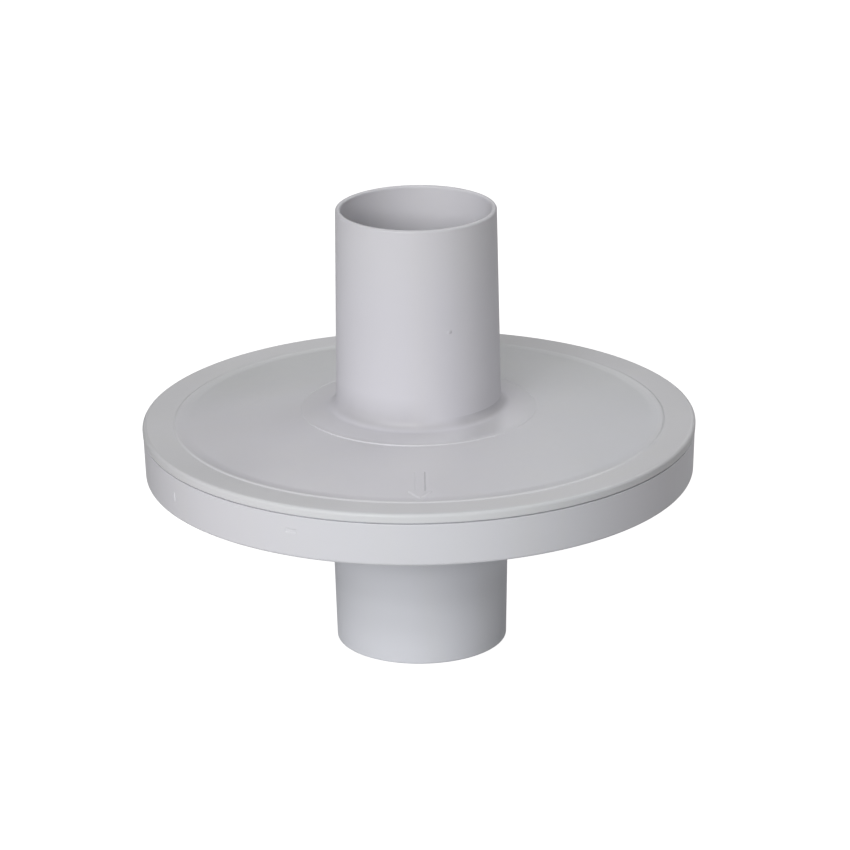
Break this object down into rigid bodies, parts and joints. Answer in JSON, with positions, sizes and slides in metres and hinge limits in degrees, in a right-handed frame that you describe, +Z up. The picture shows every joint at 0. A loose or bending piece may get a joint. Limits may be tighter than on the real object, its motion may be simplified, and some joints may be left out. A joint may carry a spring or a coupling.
{
  "type": "inline vent housing",
  "caption": "Round in-line ventilation housing: flat disc chamber with a twist-lock lid, a straight duct spigot above and a straight duct socket below.",
  "frame": {"origin": "on the duct axis, at the end face of the lower socket", "axes": "+Z up the duct axis through the lid to the upper spigot; -Y is the front of the lid, where the raised index arrow sits"},
  "size_m": [0.26, 0.26, 0.212],
  "materials": {
    "shell_plastic": "satin injection-moulded ABS, light cool grey",
    "grid_plastic": "plain moulded polypropylene, light grey",
    "seal_rubber": "moulded EPDM, dull",
    "filter_felt": "needled polyester felt, off-white",
    "filter_foam": "open-cell foam, black",
    "screen_steel": "woven stainless wire cloth"
  },
  "bodies": {
    "base": {"lower_shell": "shell_plastic", "lower_grid": "grid_plastic", "edge_seal": "seal_rubber", "filter_pad": "filter_felt", "foam_prefilter": "filter_foam", "insect_screen": "screen_steel", "upper_grid": "grid_plastic"},
    "lid": {"upper_shell": "shell_plastic", "rim_seal": "seal_rubber"}
  },
  "joints": [
    {"name": "lid_turn", "type": "hinge", "parent": "base", "child": "lid", "pos_m": [0, 0, 0.1045], "axis": [0, 0, 1], "range_deg": [0, 30]}
  ]
}
